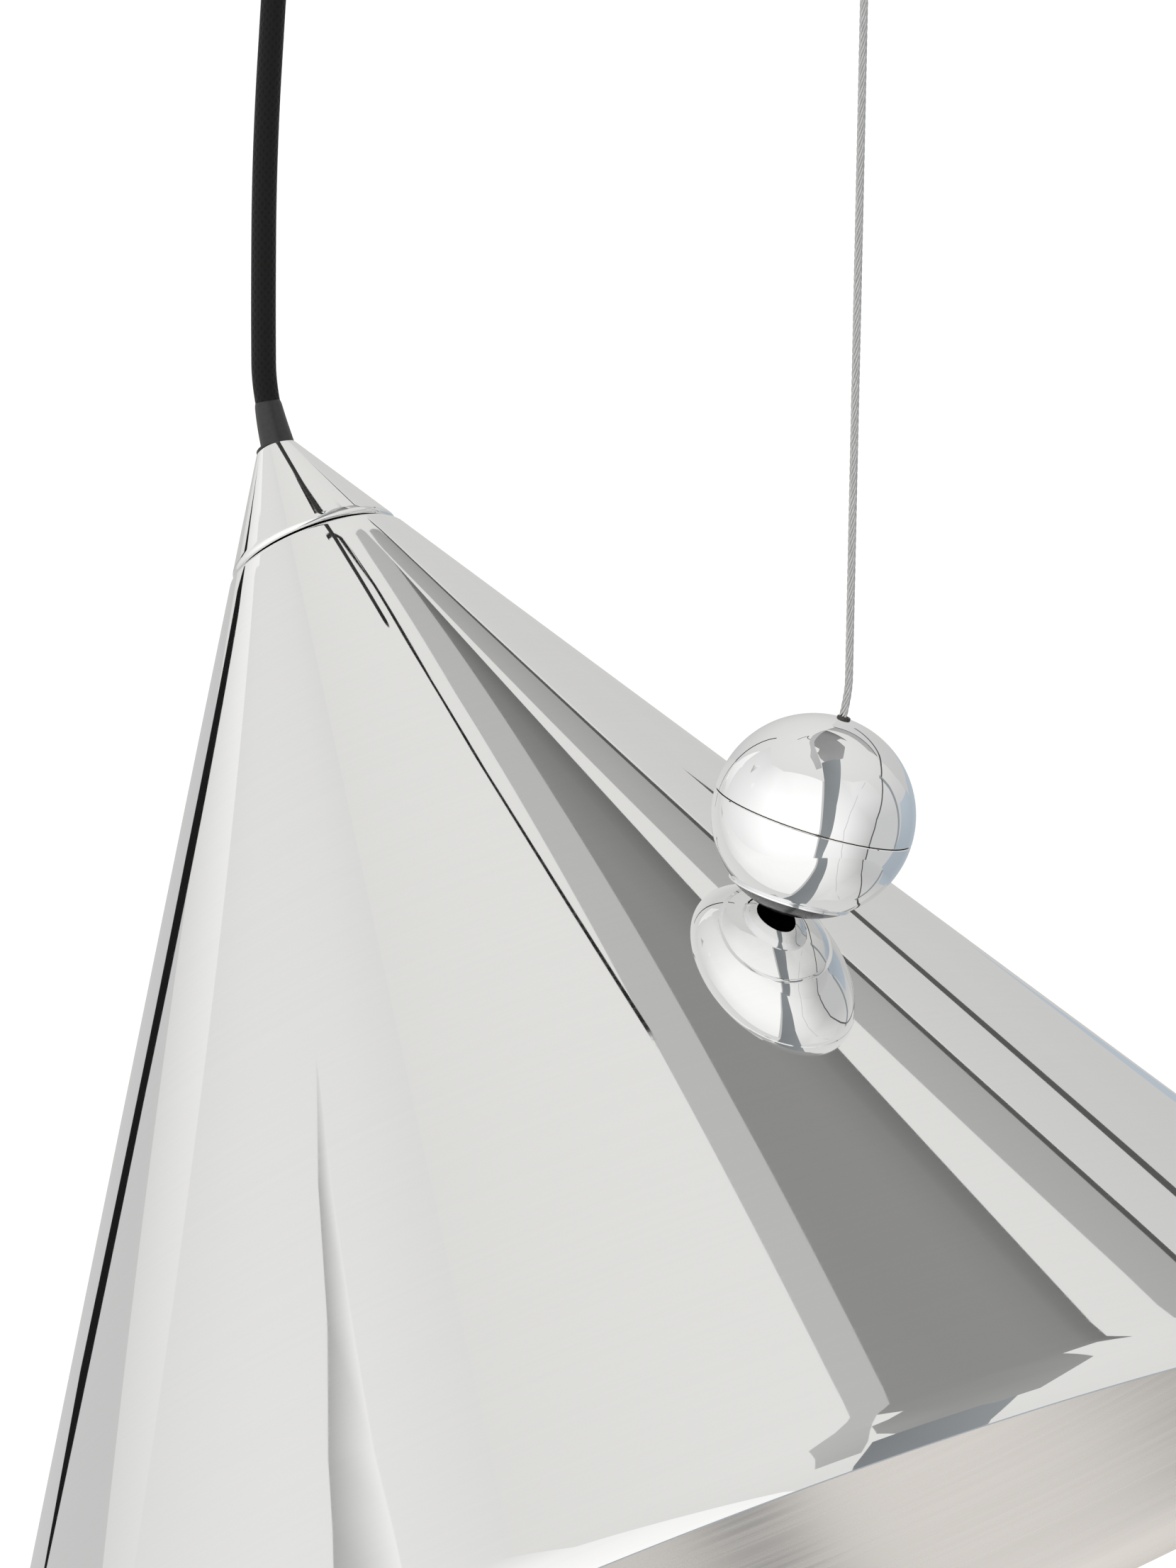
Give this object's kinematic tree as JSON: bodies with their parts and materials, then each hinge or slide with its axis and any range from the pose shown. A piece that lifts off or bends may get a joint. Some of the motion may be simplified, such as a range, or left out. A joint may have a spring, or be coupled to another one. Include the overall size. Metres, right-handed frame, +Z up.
{
  "type": "pendant lamp",
  "caption": "Cone-shaded pendant lamp, mirror plated, held tilted by its cord and by a steel wire that ends in a magnetic ball resting on the shade.",
  "frame": {"origin": "middle of the ceiling plate's top face, which lies against the ceiling", "axes": "+Z up; +X from the cord's exit to the wire's exit along the canopy, which is the way the shade's mouth leans; +Y across the canopy"},
  "size_m": [0.402, 0.4065, 0.5984],
  "materials": {
    "polished_shade": "mirror polished chromium plate on spun and turned steel",
    "polished_ball": "mirror polished chromium plate",
    "turned_brass": "turned, unpolished",
    "nickel_steel": "nickel plated steel, satin",
    "dark_steel": "blackened steel",
    "steel_wire": "drawn stainless strands",
    "black_rubber": "moulded, soft sheen",
    "black_plastic": "moulded, matt",
    "black_glass": "black vitreous insulator",
    "white_ceramic": "glazed porcelain",
    "white_plastic": "moulded, matt",
    "black_textile": "braided textile sleeve",
    "lead_insulation": "soft insulation",
    "opal_glass": "opal, satin white"
  },
  "bodies": {
    "canopy": {"ceiling_plate": "nickel_steel", "wire_hanger": "nickel_steel", "cover_pillars": "nickel_steel", "cord_bracket": "nickel_steel", "cord_saddle": "black_plastic", "clamp_screws": "nickel_steel", "terminal_block": "white_plastic", "block_screws": "turned_brass", "power_cord": "black_textile"},
    "cover": {"canopy_cover": "polished_shade", "cord_bush": "black_rubber", "cover_screws": "polished_ball"},
    "link": {"swivel_link": "nickel_steel", "link_pins": "nickel_steel"},
    "wire": {"gripper_body": "nickel_steel", "gripper_collet": "turned_brass", "gripper_spring": "nickel_steel", "suspension_wire": "steel_wire", "wire_stop": "dark_steel"},
    "plunger": {"gripper_plunger": "nickel_steel"},
    "ball": {"ball_upper_shell": "polished_ball", "ball_lower_shell": "polished_ball", "shell_joint_ring": "turned_brass", "foot_trim_ring": "polished_ball", "foot_cap": "black_rubber", "magnet_disc": "nickel_steel", "magnet_pot": "nickel_steel", "tie_rod": "nickel_steel", "wire_boss": "turned_brass", "wire_ferrule": "dark_steel"},
    "shade": {"cone_shade": "polished_shade", "tip_cap": "polished_shade", "neck_ring": "turned_brass", "stem_nipple": "turned_brass", "stem_nut": "nickel_steel", "boot_collar": "black_rubber", "cord_boot": "black_rubber", "cord_tail": "black_textile", "lamp_leads": "lead_insulation", "holder_cap": "black_plastic", "holder_sleeve": "black_plastic", "holder_core": "white_ceramic", "terminal_screws": "turned_brass", "contact_shell": "turned_brass", "centre_contact": "turned_brass"},
    "bulb": {"bulb_contact": "turned_brass", "bulb_insulator": "black_glass", "bulb_base": "nickel_steel", "bulb_glass": "opal_glass"}
  },
  "joints": [
    {"name": "shade_tilt", "type": "hinge", "parent": "canopy", "child": "shade", "pos_m": [-0.11352, -0.00327, -0.192], "axis": [0.0099, 1, 0], "range_deg": [0, 33.7], "deforming": ["cord_boot", "cord_tail", "power_cord"]},
    {"name": "wire_swing_out", "type": "hinge", "parent": "canopy", "child": "link", "pos_m": [0.11059, 0, -0.034], "axis": [0, -1, 0], "range_deg": [0, 45]},
    {"name": "wire_swing_side", "type": "hinge", "parent": "link", "child": "wire", "pos_m": [0.11059, 0, -0.045], "axis": [1, 0, 0], "range_deg": [-30, 30]},
    {"name": "ball_spin", "type": "hinge", "parent": "wire", "child": "ball", "pos_m": [0.10485, -0.00543, -0.27003], "axis": [0.1977, 0.1872, 0.9622], "continuous": true},
    {"name": "gripper_release", "type": "slide", "parent": "wire", "child": "plunger", "axis": [0, 0, 1], "range_m": [0, 0.002], "stiffness_N_per_m": 300, "springref_m": -0.003, "deforming": ["gripper_spring"]},
    {"name": "cover_drop", "type": "slide", "parent": "canopy", "child": "cover", "axis": [0, 0, -1], "range_m": [0, 0.009], "deforming": ["power_cord"]},
    {"name": "bulb_out", "type": "slide", "parent": "shade", "child": "bulb", "axis": [0.5548, -0.0055, -0.832], "range_m": [0, 0.12]}
  ]
}
